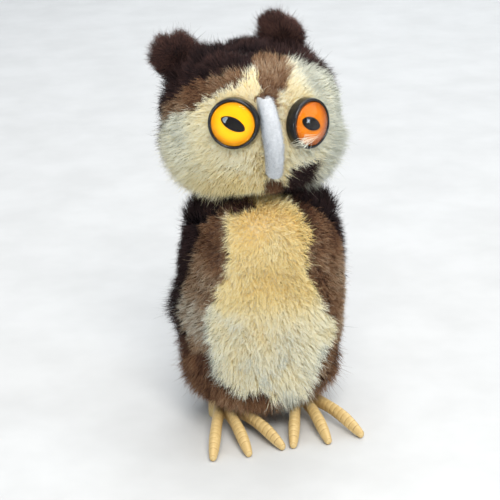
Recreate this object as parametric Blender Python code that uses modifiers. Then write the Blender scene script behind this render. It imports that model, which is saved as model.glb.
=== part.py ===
"""Small standing plush owl: stuffed pile-fabric body and swivel head, toy eyes, felt beak, moulded feet.

Metres, +Z up, the owl faces -Y and stands on z = 0. Left and right are the owl's own: left is +X.
Each fabric panel is a solid as thick as its backing and pile together.
"""

import math

import bmesh
import bpy
from mathutils import Matrix, Vector

MM = 0.001

# Driving dimensions
GAP = 0.3 * MM
SEAM = 0.7 * MM
FILM = 0.1 * MM
PILE = 2.2 * MM
DEPTH_RATIO = 0.94
NECK_Z = 61.0 * MM
BODY_BASE_Z = 6.3 * MM
BODY_HALF_WIDTH = 21.6 * MM
BODY_OFFSET = 1.9 * MM
HEAD_HALF_WIDTH = 22.2 * MM
HEAD_HEIGHT = 36.0 * MM
EYE_RADIUS = 6.0 * MM
EYE_Z = {"left": 80.1 * MM, "right": 82.0 * MM}
EYE_TURN = math.radians(27.0)
EYE_LIFT = math.radians(4.0)
EYE_SEAT = 18.4 * MM
EYE_HEIGHT = 2.9 * MM
IRIS_RADIUS = 5.1 * MM
PUPIL_TILT = math.radians(-26.0)
BEAK_TOP_Z = 87.4 * MM
BEAK_BOTTOM_Z = 68.2 * MM
BEAK_HALF_WIDTH = 2.2 * MM
BEAK_OUT = 2.6 * MM
BEAK_SHIFT = -0.6 * MM
BEAK_LEAN = -1.9 * MM
FELT = 1.2 * MM
FOOT_SPACING = 20.4 * MM
FOOT_HEIGHT = 5.6 * MM
TOE_REACH = 26.0 * MM
HIND_TOE_REACH = 12.5 * MM
TOE_SPREAD = math.radians(19.5)
TOE_ROOT_RADIUS = 1.7 * MM
PIN_RADIUS = 1.0 * MM
PIN_HEAD_RADIUS = 2.4 * MM
NECK_DISC_RADIUS = 7.5 * MM
BOARD = 1.6 * MM
WASHER = 0.8 * MM
WASHER_RADIUS = 4.0 * MM
SHANK_RADIUS = 1.6 * MM
SHANK_LENGTH = 7.0 * MM
EYE_WASHER_SEAT = -5.2 * MM
FELT_SWEEP = 3.4 * MM
POCKET_HEIGHT = 7.0 * MM
POCKET_RADIUS = 4.9 * MM

# The neck's axis stands behind the middle of the footprint, because the toes reach forward,
# and to the owl's right of it, because the body bulges to its left.
AXIS_X = (HEAD_HALF_WIDTH - BODY_HALF_WIDTH - BODY_OFFSET) / 2
AXIS_Y = (TOE_REACH - HEAD_HALF_WIDTH * DEPTH_RATIO) / 2
HOLE_RADIUS = PIN_RADIUS + 2 * GAP
STUFFING_INSET = PILE + 2 * GAP

# Outlines from bottom to top, as (share of the half width, height)
BODY_OUTLINE = (
    (0.74, BODY_BASE_Z),
    (0.82, BODY_BASE_Z + 1.4 * MM),
    (0.87, BODY_BASE_Z + 4.0 * MM),
    (0.91, 15.0 * MM),
    (0.96, 22.0 * MM),
    (1.00, 32.0 * MM),
    (0.97, 45.0 * MM),
    (0.90, 53.0 * MM),
    (0.78, 58.0 * MM),
    (0.64, NECK_Z - 0.9 * MM),
    (0.50, NECK_Z - GAP / 2),
    (HOLE_RADIUS / BODY_HALF_WIDTH, NECK_Z - GAP / 2),
)
HEAD_OUTLINE = (
    (HOLE_RADIUS / HEAD_HALF_WIDTH, NECK_Z + GAP / 2),
    (0.55, NECK_Z + GAP / 2),
    (0.70, NECK_Z + 0.05 * HEAD_HEIGHT),
    (0.87, NECK_Z + 0.16 * HEAD_HEIGHT),
    (0.97, NECK_Z + 0.32 * HEAD_HEIGHT),
    (1.00, NECK_Z + 0.50 * HEAD_HEIGHT),
    (0.97, NECK_Z + 0.64 * HEAD_HEIGHT),
    (0.86, NECK_Z + 0.79 * HEAD_HEIGHT),
    (0.68, NECK_Z + 0.895 * HEAD_HEIGHT),
    (0.46, NECK_Z + 0.955 * HEAD_HEIGHT),
    (0.24, NECK_Z + 0.99 * HEAD_HEIGHT),
    (0.03, NECK_Z + HEAD_HEIGHT),
)
BROW_ROW = 7
CROWN_ROW = 9
LAST_ROW = len(HEAD_OUTLINE) - 1

# Seams as (height in millimetres, degrees round from the front), with + towards the owl's left.
# The front panel sits a little round to the owl's right.
BIB_RIGHT_SEAM = ((8, -44), (15, -52), (26, -62), (36, -54), (45, -42), (56, -46))
BIB_LEFT_SEAM = ((8, 30), (15, 34), (26, 50), (36, 28), (45, 21), (56, 20))
SIDE_RIGHT_SEAM = ((8, -92), (20, -96), (36, -88), (48, -72), (57, -58))
SIDE_LEFT_SEAM = ((8, 88), (20, 92), (36, 88), (48, 62), (57, 40))
BROW_SEAM = ((87, 2), (89.5, 3), (93.3, 20), (95.4, 30))
FACE_SEAM = ((62, 98), (76, 100), (84, 90), (89.5, 76), (93.3, 58), (95.4, 46))
BACK_SEAM = ((0, 180),)
BACK_SEAM_OTHER_WAY = ((0, -180),)

# The body bulges towards the owl's left of its own neck, as (height, share of BODY_OFFSET)
BODY_LEAN = (
    (BODY_BASE_Z, 0.1),
    (18.0 * MM, 0.6),
    (34.0 * MM, 1.0),
    (52.0 * MM, 1.0),
    (58.0 * MM, 0.7),
    (NECK_Z - 0.9 * MM, 0.3),
    (NECK_Z - GAP / 2, 0.0),
)

# Ears as centre, size and lean, in the head's own frame
EARS = {
    "left": (Vector((10.6, 7.0, 97.0)) * MM, Vector((6.4, 3.4, 6.0)) * MM, math.radians(8)),
    "right": (Vector((-15.6, 7.0, 92.8)) * MM, Vector((5.6, 3.4, 6.6)) * MM, math.radians(38)),
}

# Toes as share of the reach, height in millimetres and share of the root radius
TOE_STATIONS = (
    (0.10, 3.9, 1.00),
    (0.50, 4.1, 1.00),
    (0.70, 3.5, 0.94),
    (0.86, 2.3, 0.84),
    (0.95, 1.4, 0.70),
    (1.00, 0.8, 0.45),
)
OUTER_TOE_SHARE = 0.97
# Each toe as its turn from straight ahead and its reach; the hind toe keeps the owl from tipping back
TOES = (
    (-TOE_SPREAD, TOE_REACH / math.cos(TOE_SPREAD) * OUTER_TOE_SHARE),
    (0, TOE_REACH),
    (TOE_SPREAD, TOE_REACH / math.cos(TOE_SPREAD) * OUTER_TOE_SHARE),
    (math.pi, HIND_TOE_REACH),
)


def clear_scene():
    for obj in list(bpy.data.objects):
        bpy.data.objects.remove(obj)


def new_collection(name):
    collection = bpy.data.collections.new(name)
    bpy.context.scene.collection.children.link(collection)
    return collection


def new_root(name, collection):
    root = bpy.data.objects.new(name, None)
    root.location = (AXIS_X, AXIS_Y, 0)
    root.empty_display_size = 10 * MM
    collection.objects.link(root)
    return root


def material(name, colour, roughness, metallic=0.0):
    made = bpy.data.materials.new(name)
    made.use_nodes = True
    shader = made.node_tree.nodes["Principled BSDF"]
    shader.inputs["Base Color"].default_value = (*colour, 1.0)
    shader.inputs["Roughness"].default_value = roughness
    shader.inputs["Metallic"].default_value = metallic
    return made


def add_object(name, bm, surface, root):
    """Turns a bmesh into an object beside its root. Helpers with no material become cutters."""
    bmesh.ops.recalc_face_normals(bm, faces=bm.faces)
    mesh = bpy.data.meshes.new(name)
    bm.to_mesh(mesh)
    bm.free()
    obj = bpy.data.objects.new(name, mesh)
    obj.parent = root
    if surface:
        mesh.materials.append(surface)
        root.users_collection[0].objects.link(obj)
    else:
        obj.hide_render = True
        obj.display_type = "WIRE"
        bpy.data.collections["owl cutters"].objects.link(obj)
    return obj


def combine(obj, other, operation):
    modifier = obj.modifiers.new(other.name, "BOOLEAN")
    modifier.operation = operation
    modifier.solver = "EXACT"
    modifier.object = other


def outline_points(stations, half_width):
    return [Vector((share * half_width, height)) for share, height in stations]


def offset_outline(outline, distance):
    """The same outline moved inwards, square to itself."""
    moved = []
    for i, point in enumerate(outline):
        before = outline[max(i - 1, 0)]
        after = outline[min(i + 1, len(outline) - 1)]
        along = (after - before).normalized()
        moved.append(point + Vector((-along.y, along.x)) * distance)
    return moved


def value_at(stations, place):
    """Straight lines between (place, value) stations, level beyond both ends."""
    if place <= stations[0][0]:
        return stations[0][1]
    for (low, first), (high, second) in zip(stations, stations[1:]):
        if place <= high:
            return first + (second - first) * (place - low) / (high - low)
    return stations[-1][1]


def seam_at(stations, height, side=1):
    """The seam's turn at a height, in radians."""
    return math.radians(value_at(stations, height / MM)) * side


def mirrored(stations):
    return tuple((height, -turn) for height, turn in stations)


def lean_body(bm):
    """Moves each level of the body sideways by its own share of the offset."""
    for vert in bm.verts:
        vert.co.x += BODY_OFFSET * value_at(BODY_LEAN, vert.co.z)


def panel(name, outline, rows, seams, side, across, surface, root, shape=None):
    """One fabric panel: a grid wrapped round some rows of an outline between two seams, thickened inwards."""
    first_row, last_row = rows
    points = list(outline[first_row:last_row + 1])
    if first_row > 0:
        points[0] = points[0] + (points[1] - points[0]).normalized() * SEAM
    bm = bmesh.new()
    bmesh.ops.create_grid(bm, x_segments=across, y_segments=len(points) - 1, size=0.5)
    for vert in bm.verts:
        point = points[round((vert.co.y + 0.5) * (len(points) - 1))]
        clearance = math.asin(SEAM / 2 / point.x)
        first = seam_at(seams[0], point.y, side) + clearance * side
        last = seam_at(seams[1], point.y, side) - clearance * side
        turn = first + (last - first) * (vert.co.x + 0.5)
        vert.co = (point.x * math.sin(turn), -DEPTH_RATIO * point.x * math.cos(turn), point.y)
    if shape:
        shape(bm)
    obj = add_object(name, bm, surface, root)
    # The grid's normals have to face outwards, so that it thickens inwards.
    middle = obj.data.polygons[len(obj.data.polygons) // 2]
    if middle.normal.dot(middle.center - Vector((0, 0, middle.center.z))) < 0:
        obj.data.flip_normals()
    skin = obj.modifiers.new("backing and pile", "SOLIDIFY")
    skin.thickness = PILE
    skin.offset = -1
    return obj


def lathe(name, outline, surface, root, steps=32, depth=1.0, shape=None):
    """A solid of revolution, closed on its axis. The outline runs from bottom to top."""
    bm = bmesh.new()
    closed = [(0, outline[0][1]), *outline, (0, outline[-1][1])]
    verts = [bm.verts.new((radius, 0, height)) for radius, height in closed]
    edges = [bm.edges.new(pair) for pair in zip(verts, verts[1:])]
    bmesh.ops.spin(
        bm, geom=verts + edges, cent=(0, 0, 0), axis=(0, 0, 1), angle=math.tau, steps=steps, use_merge=True
    )
    bmesh.ops.remove_doubles(bm, verts=bm.verts, dist=0.001 * MM)
    bmesh.ops.scale(bm, vec=(1, depth, 1), verts=bm.verts)
    if shape:
        shape(bm)
    return add_object(name, bm, surface, root)


def disc(name, radius, low, high, surface, root, steps=32):
    return lathe(name, ((radius, low), (radius, high)), surface, root, steps)


def washer(name, inner, outer, low, surface, root, thickness=WASHER):
    """A flat ring standing on the given height."""
    obj = disc(name, outer, low, low + thickness, surface, root, steps=24)
    hole = disc(name + " hole", inner, low - GAP, low + thickness + GAP, None, root, steps=16)
    combine(obj, hole, "DIFFERENCE")
    return obj, hole


def stuffing(name, stations, half_width, surface, root, shape=None):
    lowest = stations[0][1] + STUFFING_INSET
    highest = stations[-1][1] - STUFFING_INSET
    outline = offset_outline(outline_points(stations, half_width), STUFFING_INSET)
    kept = [point for point in outline if point.x > HOLE_RADIUS * 1.5]
    filled = [(point.x, min(max(point.y, lowest), highest)) for point in kept]
    return lathe(name, filled, surface, root, steps=32, depth=DEPTH_RATIO, shape=shape)


def build_body(root, cloth, plain):
    outline = outline_points(BODY_OUTLINE, BODY_HALF_WIDTH)
    rows = (0, len(outline) - 1)
    panels = (
        ("bib_panel", (BIB_RIGHT_SEAM, BIB_LEFT_SEAM), 10, "cream"),
        ("side_panel_right", (SIDE_RIGHT_SEAM, BIB_RIGHT_SEAM), 4, "brown"),
        ("side_panel_left", (BIB_LEFT_SEAM, SIDE_LEFT_SEAM), 5, "brown"),
        ("back_panel_right", (BACK_SEAM_OTHER_WAY, SIDE_RIGHT_SEAM), 9, "dark"),
        ("back_panel_left", (SIDE_LEFT_SEAM, BACK_SEAM), 9, "dark"),
    )
    for name, seams, across, fabric in panels:
        panel(name, outline, rows, seams, 1, across, cloth[fabric], root, lean_body)

    # The base panel fills the round opening that the upright panels leave underneath.
    base_radius = BODY_OUTLINE[0][0] * BODY_HALF_WIDTH - PILE - 2 * GAP
    base = disc("base_panel", base_radius, BODY_BASE_Z, BODY_BASE_Z + PILE, cloth["dark"], root)
    base.scale = (1, DEPTH_RATIO, 1)
    base.location.x = BODY_OFFSET * BODY_LEAN[0][1]
    filling = stuffing("body_stuffing", BODY_OUTLINE, BODY_HALF_WIDTH, plain["stuffing"], root, lean_body)

    under = NECK_Z - GAP / 2 - PILE - GAP
    pocket_floor = under - BOARD - WASHER - 3 * GAP - BOARD - 1 * MM
    neck_pocket = disc("body neck pocket", NECK_DISC_RADIUS + 2 * GAP, pocket_floor, NECK_Z, None, root)
    combine(filling, neck_pocket, "DIFFERENCE")
    for side in (-1, 1):
        centre = (side * FOOT_SPACING / 2, 0, 0)
        hole = disc(f"shank hole {side}", SHANK_RADIUS + GAP, 0, BODY_BASE_Z + 2 * PILE, None, root, steps=16)
        pocket_top = BODY_BASE_Z + PILE + POCKET_HEIGHT
        pocket = disc(f"shank pocket {side}", POCKET_RADIUS, 0, pocket_top, None, root, steps=24)
        hole.location = centre
        pocket.location = centre
        combine(base, hole, "DIFFERENCE")
        combine(filling, pocket, "DIFFERENCE")


def build_neck(body, head, plain):
    under = NECK_Z - GAP / 2 - PILE - GAP
    over = NECK_Z + GAP / 2 + PILE + GAP
    low_washer = under - BOARD - GAP - WASHER
    high_washer = over + BOARD + GAP
    washer("neck_disc_body", HOLE_RADIUS, NECK_DISC_RADIUS, under - BOARD, plain["board"], body, BOARD)
    washer("neck_washer_body", HOLE_RADIUS, WASHER_RADIUS, low_washer, plain["steel"], body)
    washer("neck_disc_head", HOLE_RADIUS, NECK_DISC_RADIUS, over, plain["board"], head, BOARD)
    washer("neck_washer_head", HOLE_RADIUS, WASHER_RADIUS, high_washer, plain["steel"], head)
    low = low_washer - GAP
    high = high_washer + WASHER + GAP
    outline = (
        (PIN_HEAD_RADIUS, low - BOARD),
        (PIN_HEAD_RADIUS, low),
        (PIN_RADIUS, low),
        (PIN_RADIUS, high),
        (PIN_HEAD_RADIUS, high),
        (PIN_HEAD_RADIUS, high + BOARD),
    )
    lathe("neck_pin", outline, plain["steel"], body, steps=16)


def eye_matrix(side, word):
    """The eye's own frame in the head: origin on its seat, +Z along the way it looks."""
    turn = Matrix.Rotation(side * EYE_TURN, 4, "Z")
    lean = Matrix.Rotation(math.pi / 2 - EYE_LIFT, 4, "X")
    seat = turn @ Vector((0, -EYE_SEAT, EYE_Z[word]))
    return Matrix.Translation(seat) @ turn @ lean


def build_eye(side, word, face, filling, root, plain):
    floor = 1.4 * MM
    iris_top = floor + FILM + 0.3 * MM
    pupil_top = iris_top + FILM + 0.15 * MM
    lens_low = pupil_top + FILM
    cup_outline = (
        (SHANK_RADIUS, -SHANK_LENGTH),
        (SHANK_RADIUS, 0),
        (EYE_RADIUS, 0),
        (EYE_RADIUS, EYE_HEIGHT - GAP),
        (EYE_RADIUS - GAP, EYE_HEIGHT),
        (IRIS_RADIUS + GAP, EYE_HEIGHT),
        (IRIS_RADIUS + FILM, floor),
    )
    dome = EYE_HEIGHT + 1.0 * MM - lens_low
    lens_outline = [(IRIS_RADIUS, lens_low)]
    for angle in (15, 35, 55, 75):
        turn = math.radians(angle)
        lens_outline.append((IRIS_RADIUS * math.cos(turn), lens_low + dome * math.sin(turn)))
    pupil_outline = ((1.0, iris_top + FILM), (1.0, pupil_top))
    shank_low = -SHANK_LENGTH
    seat = disc(f"eye seat {word}", EYE_RADIUS + GAP, -GAP, 12 * MM, None, root)
    shank_hole = disc(f"eye shank hole {word}", SHANK_RADIUS + GAP, shank_low, 2 * GAP, None, root, steps=16)
    pocket = disc(f"eye pocket {word}", POCKET_RADIUS, shank_low - 2 * GAP, 8 * MM, None, root, steps=24)
    pieces = [
        lathe("eye_cup_" + word, cup_outline, plain["black"], root, steps=32),
        disc("eye_iris_" + word, IRIS_RADIUS, floor + FILM, iris_top, plain["iris"], root),
        lathe("eye_lens_" + word, lens_outline, plain["clear"], root, steps=32),
    ]
    ring, ring_hole = washer(
        "eye_washer_" + word, SHANK_RADIUS + GAP, WASHER_RADIUS, EYE_WASHER_SEAT, plain["steel"], root
    )
    pupil = lathe("eye_pupil_" + word, pupil_outline, plain["black"], root, steps=24)
    shape = Matrix.Rotation(PUPIL_TILT, 4, "Z") @ Matrix.Diagonal((3.15 * MM, 1.5 * MM, 1, 1))
    pupil.data.transform(shape)
    for piece in (*pieces, seat, shank_hole, pocket, ring, ring_hole, pupil):
        piece.matrix_local = eye_matrix(side, word)
    combine(face, seat, "DIFFERENCE")
    combine(face, shank_hole, "DIFFERENCE")
    combine(filling, pocket, "DIFFERENCE")


def build_ear(side, word, centre, size, lean, clearance, root, cloth):
    """A flattened tuft that stands on the head and leans sideways."""
    bm = bmesh.new()
    bmesh.ops.create_uvsphere(bm, u_segments=16, v_segments=10, radius=1.0)
    shape = Matrix.Rotation(side * lean, 4, "Y") @ Matrix.Diagonal((*size, 1))
    bmesh.ops.transform(bm, matrix=Matrix.Translation(centre) @ shape, verts=bm.verts)
    ear = add_object("ear_" + word, bm, cloth["dark"], root)
    combine(ear, clearance, "DIFFERENCE")


def head_radius_at(height):
    outline = outline_points(HEAD_OUTLINE, HEAD_HALF_WIDTH)
    for low, high in zip(outline[1:], outline[2:]):
        if low.y <= height <= high.y:
            return low.lerp(high, (height - low.y) / (high.y - low.y)).x
    return outline[-1].x


def build_beak(clearance, root, plain):
    """A felt strip folded lengthwise: a grid bowed out from the face, its two edges swept back to it."""
    bm = bmesh.new()
    bmesh.ops.create_grid(bm, x_segments=6, y_segments=12, size=0.5)
    for vert in bm.verts:
        down = 0.5 - vert.co.y
        across = 2 * vert.co.x
        height = BEAK_TOP_Z + (BEAK_BOTTOM_Z - BEAK_TOP_Z) * down
        ridge = DEPTH_RATIO * head_radius_at(height) + PILE / 2 + BEAK_OUT * math.sin(math.pi * down)
        swept = (1 - math.sqrt(1 - 0.9 * across * across)) * FELT_SWEEP
        width = BEAK_HALF_WIDTH * (0.78 + 0.22 * math.sin(math.pi * down))
        middle = BEAK_SHIFT + BEAK_LEAN * (0.5 - down)
        vert.co = (middle + across * width, -ridge + swept, height)
    beak = add_object("beak", bm, plain["felt"], root)
    if beak.data.polygons[0].normal.y > 0:
        beak.data.flip_normals()
    thick = beak.modifiers.new("felt", "SOLIDIFY")
    thick.thickness = FELT
    thick.offset = -1
    combine(beak, clearance, "DIFFERENCE")


def build_head(root, cloth, plain):
    outline = outline_points(HEAD_OUTLINE, HEAD_HALF_WIDTH)
    filling = stuffing("head_stuffing", HEAD_OUTLINE, HEAD_HALF_WIDTH, plain["stuffing"], root)
    pocket_top = NECK_Z + PILE + POCKET_HEIGHT
    neck_pocket = disc("head neck pocket", NECK_DISC_RADIUS + 2 * GAP, NECK_Z, pocket_top, None, root)
    combine(filling, neck_pocket, "DIFFERENCE")
    around_head = offset_outline(outline, -GAP)
    clearance = lathe("head clearance", around_head, None, root, steps=36, depth=DEPTH_RATIO)
    brow_seams = (mirrored(BROW_SEAM), BROW_SEAM)
    crown_seams = (BACK_SEAM_OTHER_WAY, BACK_SEAM)
    panel("brow_patch", outline, (BROW_ROW, CROWN_ROW), brow_seams, 1, 4, cloth["brown"], root)
    panel("crown_panel", outline, (CROWN_ROW, LAST_ROW), crown_seams, 1, 20, cloth["dark"], root)
    inner_seam = ((BROW_SEAM[0][0], 0), *BROW_SEAM[1:])
    for side, word in ((1, "left"), (-1, "right")):
        rows = (0, CROWN_ROW)
        seams = (inner_seam, FACE_SEAM)
        face = panel("face_panel_" + word, outline, rows, seams, side, 10, cloth["cream"], root)
        panel("head_back_" + word, outline, rows, (FACE_SEAM, BACK_SEAM), side, 8, cloth["dark"], root)
        build_eye(side, word, face, filling, root, plain)
        centre, size, lean = EARS[word]
        build_ear(side, word, centre, size, lean, clearance, root, cloth)
    build_beak(clearance, root, plain)


def toe_mesh(turn, reach):
    """One toe as a tapering tube that leaves the hub level and bends down to the floor."""
    curve = bpy.data.curves.new("toe", "CURVE")
    curve.dimensions = "3D"
    curve.bevel_depth = TOE_ROOT_RADIUS
    curve.bevel_resolution = 2
    curve.use_fill_caps = True
    spline = curve.splines.new("POLY")
    spline.points.add(len(TOE_STATIONS) - 1)
    for point, (share, height, width) in zip(spline.points, TOE_STATIONS):
        forward = reach * share
        point.co = (forward * math.sin(turn), -forward * math.cos(turn), height * MM, 1)
        point.radius = width
    holder = bpy.data.objects.new("toe", curve)
    bpy.context.scene.collection.objects.link(holder)
    bpy.context.view_layer.update()
    made = bpy.data.meshes.new_from_object(holder)
    bpy.data.objects.remove(holder)
    bpy.data.curves.remove(curve)
    bm = bmesh.new()
    bm.from_mesh(made)
    bpy.data.meshes.remove(made)
    bmesh.ops.remove_doubles(bm, verts=bm.verts, dist=0.001 * MM)
    return bm


def build_foot(side, word, root, plain):
    """Four toes on one hub with a flat sole; the shank goes up into the body and takes a lock washer."""
    shank_top = BODY_BASE_Z + PILE + 5 * MM
    hub_outline = (
        (4.6 * MM, 0),
        (5.0 * MM, 1.2 * MM),
        (4.4 * MM, FOOT_HEIGHT - 1.2 * MM),
        (3.2 * MM, FOOT_HEIGHT),
        (SHANK_RADIUS, FOOT_HEIGHT),
        (SHANK_RADIUS, shank_top),
    )
    centre = (side * FOOT_SPACING / 2, 0, 0)
    foot = lathe("foot_" + word, hub_outline, plain["moulded"], root, steps=24)
    foot.location = centre
    for number, (turn, reach) in enumerate(TOES):
        toe = add_object(f"toe {word} {number}", toe_mesh(turn, reach), None, root)
        toe.location = centre
        combine(foot, toe, "UNION")
    ring_low = BODY_BASE_Z + PILE + 4 * GAP
    ring, hole = washer(
        "foot_washer_" + word, SHANK_RADIUS + GAP, WASHER_RADIUS, ring_low, plain["steel"], root
    )
    ring.location = centre
    hole.location = centre


def main():
    clear_scene()
    owl = new_collection("plush owl")
    new_collection("owl cutters").hide_render = True
    body = new_root("body", owl)
    head = new_root("head", owl)
    cloth = {
        "cream": material("cream pile", (0.60, 0.50, 0.31), 0.95),
        "brown": material("brown pile", (0.17, 0.09, 0.05), 0.95),
        "dark": material("dark pile", (0.035, 0.018, 0.016), 0.95),
    }
    plain = {
        "stuffing": material("stuffing", (0.75, 0.72, 0.62), 0.95),
        "board": material("fibreboard", (0.25, 0.16, 0.09), 0.85),
        "steel": material("steel", (0.55, 0.55, 0.55), 0.3, metallic=1.0),
        "black": material("black plastic", (0.01, 0.01, 0.01), 0.2),
        "iris": material("painted iris", (0.85, 0.42, 0.01), 0.4),
        "clear": material("clear lens", (0.9, 0.9, 0.9), 0.05),
        "felt": material("white felt", (0.68, 0.69, 0.70), 0.95),
        "moulded": material("tan plastic", (0.53, 0.38, 0.18), 0.45),
    }
    build_body(body, cloth, plain)
    build_neck(body, head, plain)
    build_head(head, cloth, plain)
    for side, word in ((1, "left"), (-1, "right")):
        build_foot(side, word, body, plain)


main()
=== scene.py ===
"""Looks of the small plush owl: real strands of pile over stuffed forms, toy eyes, felt beak, moulded feet.

Metres, +Z up, the owl faces -Y. Left and right are the owl's own: left is +X.
"""

import math

import bmesh
import bpy
import numpy as np
from mathutils import Matrix, Vector, kdtree


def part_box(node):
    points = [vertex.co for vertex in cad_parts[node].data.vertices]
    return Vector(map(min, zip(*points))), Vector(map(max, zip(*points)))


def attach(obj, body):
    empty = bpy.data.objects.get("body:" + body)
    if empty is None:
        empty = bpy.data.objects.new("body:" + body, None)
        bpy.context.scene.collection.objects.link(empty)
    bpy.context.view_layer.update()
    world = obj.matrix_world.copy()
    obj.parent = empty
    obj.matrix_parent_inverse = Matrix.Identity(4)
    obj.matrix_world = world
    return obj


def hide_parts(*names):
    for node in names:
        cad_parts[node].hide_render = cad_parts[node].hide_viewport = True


MM = 0.001
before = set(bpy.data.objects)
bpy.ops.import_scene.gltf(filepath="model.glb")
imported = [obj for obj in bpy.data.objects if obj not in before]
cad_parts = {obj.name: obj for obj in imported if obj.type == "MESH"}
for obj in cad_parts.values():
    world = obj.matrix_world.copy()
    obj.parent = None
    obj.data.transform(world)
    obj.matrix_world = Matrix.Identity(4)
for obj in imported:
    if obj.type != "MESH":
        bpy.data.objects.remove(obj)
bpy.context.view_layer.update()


# ---- places taken from the frame

def middle(node_name):
    low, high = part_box(node_name)
    return (low + high) / 2


NECK_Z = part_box("face_panel_left")[0].z
BODY_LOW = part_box("bib_panel")[0].z
BODY_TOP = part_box("bib_panel")[1].z
HEAD_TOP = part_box("crown_panel")[1].z
HEAD_HALF = (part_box("head_back_left")[1].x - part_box("head_back_right")[0].x) / 2
BODY_HALF = (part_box("back_panel_left")[1].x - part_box("back_panel_right")[0].x) / 2
AXIS_X = middle("neck_pin").x
AXIS_Y = middle("neck_pin").y
BODY_OFFSET = (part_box("back_panel_left")[1].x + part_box("back_panel_right")[0].x) / 2 - AXIS_X
DEPTH_RATIO = 0.94
BACKING_DEPTH = 2.4 * MM

# Outlines of the stuffed forms, from bottom to top: (share of half width, share of height)
BODY_SHAPE = (
    (0.00, 0.000), (0.40, 0.000), (0.72, 0.006), (0.84, 0.035), (0.90, 0.085), (0.94, 0.17), (0.975, 0.29),
    (1.00, 0.47), (0.97, 0.71), (0.91, 0.84), (0.81, 0.93), (0.66, 0.975), (0.40, 1.0), (0.00, 1.0),
)
HEAD_SHAPE = (
    (0.00, 0.000), (0.40, 0.000), (0.68, 0.035), (0.87, 0.15), (0.97, 0.31), (1.00, 0.49), (0.975, 0.64),
    (0.88, 0.79), (0.70, 0.895), (0.48, 0.957), (0.25, 0.99), (0.00, 1.0),
)

# Seams between the panels: (height in millimetres, degrees round from the front)
BIB_RIGHT = ((8, -44), (15, -52), (26, -62), (36, -54), (45, -42), (56, -46))
BIB_LEFT = ((8, 30), (15, 34), (26, 50), (36, 28), (45, 21), (56, 20))
SIDE_RIGHT = ((8, -92), (20, -96), (36, -88), (48, -72), (57, -58))
SIDE_LEFT = ((8, 88), (20, 92), (36, 88), (48, 62), (57, 40))
FACE = ((62, 98), (76, 100), (84, 90), (89.5, 76), (93.3, 58), (95.4, 46))
BROW = ((87, 2), (89.5, 3), (93.3, 20), (95.4, 30))
CROWN_Z = 95.4

# The body stands a little to the owl's left of its neck: (height in millimetres, share of BODY_OFFSET)
BODY_LEAN = ((6.3, 0.1), (18, 0.6), (34, 1.0), (52, 1.0), (58, 0.7), (60.1, 0.3), (61, 0.0))


# ---- small helpers

def table(stations, at):
    places, values = zip(*stations)
    return np.interp(at, places, values)


def ease(low, high, at):
    """0 below low, 1 above high, smooth between."""
    share = np.clip((at - low) / (high - low), 0, 1)
    return share * share * (3 - 2 * share)


def smooth_curve(points, per_span=4):
    """A Catmull-Rom curve through points, as an array."""
    known = np.array([points[0], *points, points[-1]], float)
    made = []
    for a, b, c, d in zip(known, known[1:], known[2:], known[3:]):
        for t in np.arange(per_span) / per_span:
            bend = 2 * a - 5 * b + 4 * c - d
            twist = 3 * b - a - 3 * c + d
            made.append(0.5 * (2 * b + (c - a) * t + bend * t**2 + twist * t**3))
    made.append(known[-1])
    return np.array(made)


def new_object(name, data):
    obj = bpy.data.objects.new(name, data)
    bpy.context.scene.collection.objects.link(obj)
    return obj


def object_from(name, bm, smooth=True):
    bmesh.ops.recalc_face_normals(bm, faces=bm.faces)
    mesh = bpy.data.meshes.new(name)
    bm.to_mesh(mesh)
    bm.free()
    if smooth:
        mesh.shade_smooth()
    return new_object(name, mesh)


def join_rows(bm, rows, closed_across):
    """Faces between neighbouring rows of vertices, whose ends meet where the rows are closed."""
    count = len(rows[0])
    for low, high in zip(rows, rows[1:]):
        for i in range(count if closed_across else count - 1):
            j = (i + 1) % count
            bm.faces.new((low[i], low[j], high[j], high[i]))


def grid_mesh(name, rows, closed_across):
    """A mesh through rows of points. Closed rows get a fan at both ends, so that the tube is a solid."""
    bm = bmesh.new()
    verts = [[bm.verts.new(point) for point in row] for row in rows]
    count = len(rows[0])
    join_rows(bm, verts, closed_across)
    if closed_across:
        for row in (verts[0], verts[-1]):
            centre = sum((vert.co for vert in row), Vector()) / count
            tip = bm.verts.new(centre)
            for i in range(count):
                bm.faces.new((row[i], row[(i + 1) % count], tip))
    return object_from(name, bm)


def lathe(name, outline, steps=64, depth=1.0):
    """A closed solid of revolution about Z. The outline starts and ends on the axis."""
    bm = bmesh.new()
    verts = [bm.verts.new((radius, 0, height)) for radius, height in outline]
    edges = [bm.edges.new(pair) for pair in zip(verts, verts[1:])]
    bmesh.ops.spin(
        bm, geom=verts + edges, cent=(0, 0, 0), axis=(0, 0, 1), angle=math.tau, steps=steps, use_merge=True
    )
    bmesh.ops.remove_doubles(bm, verts=bm.verts, dist=0.001 * MM)
    bmesh.ops.scale(bm, vec=(1, depth, 1), verts=bm.verts)
    return object_from(name, bm)


def modify(obj, kind, **settings):
    modifier = obj.modifiers.new(kind, kind)
    for name, value in settings.items():
        setattr(modifier, name, value)


def bake_modifiers(obj):
    graph = bpy.context.evaluated_depsgraph_get()
    made = bpy.data.meshes.new_from_object(obj.evaluated_get(graph))
    obj.modifiers.clear()
    old = obj.data
    obj.data = made
    bpy.data.meshes.remove(old)
    return obj


def coordinates(mesh, of="vertices", what="co"):
    items = getattr(mesh, of)
    values = np.empty(len(items) * 3, np.float32)
    items.foreach_get(what, values)
    return values.reshape(-1, 3).astype(float)


def set_coordinates(mesh, values):
    mesh.vertices.foreach_set("co", np.asarray(values, np.float32).ravel())
    mesh.update()


def push_out(mesh, distance):
    """Moves each point along its normal, by a distance of its own."""
    set_coordinates(mesh, coordinates(mesh) + coordinates(mesh, what="normal") * distance[:, None])


def unit(vectors):
    return vectors / np.maximum(np.linalg.norm(vectors, axis=-1, keepdims=True), 1e-12)


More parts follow.
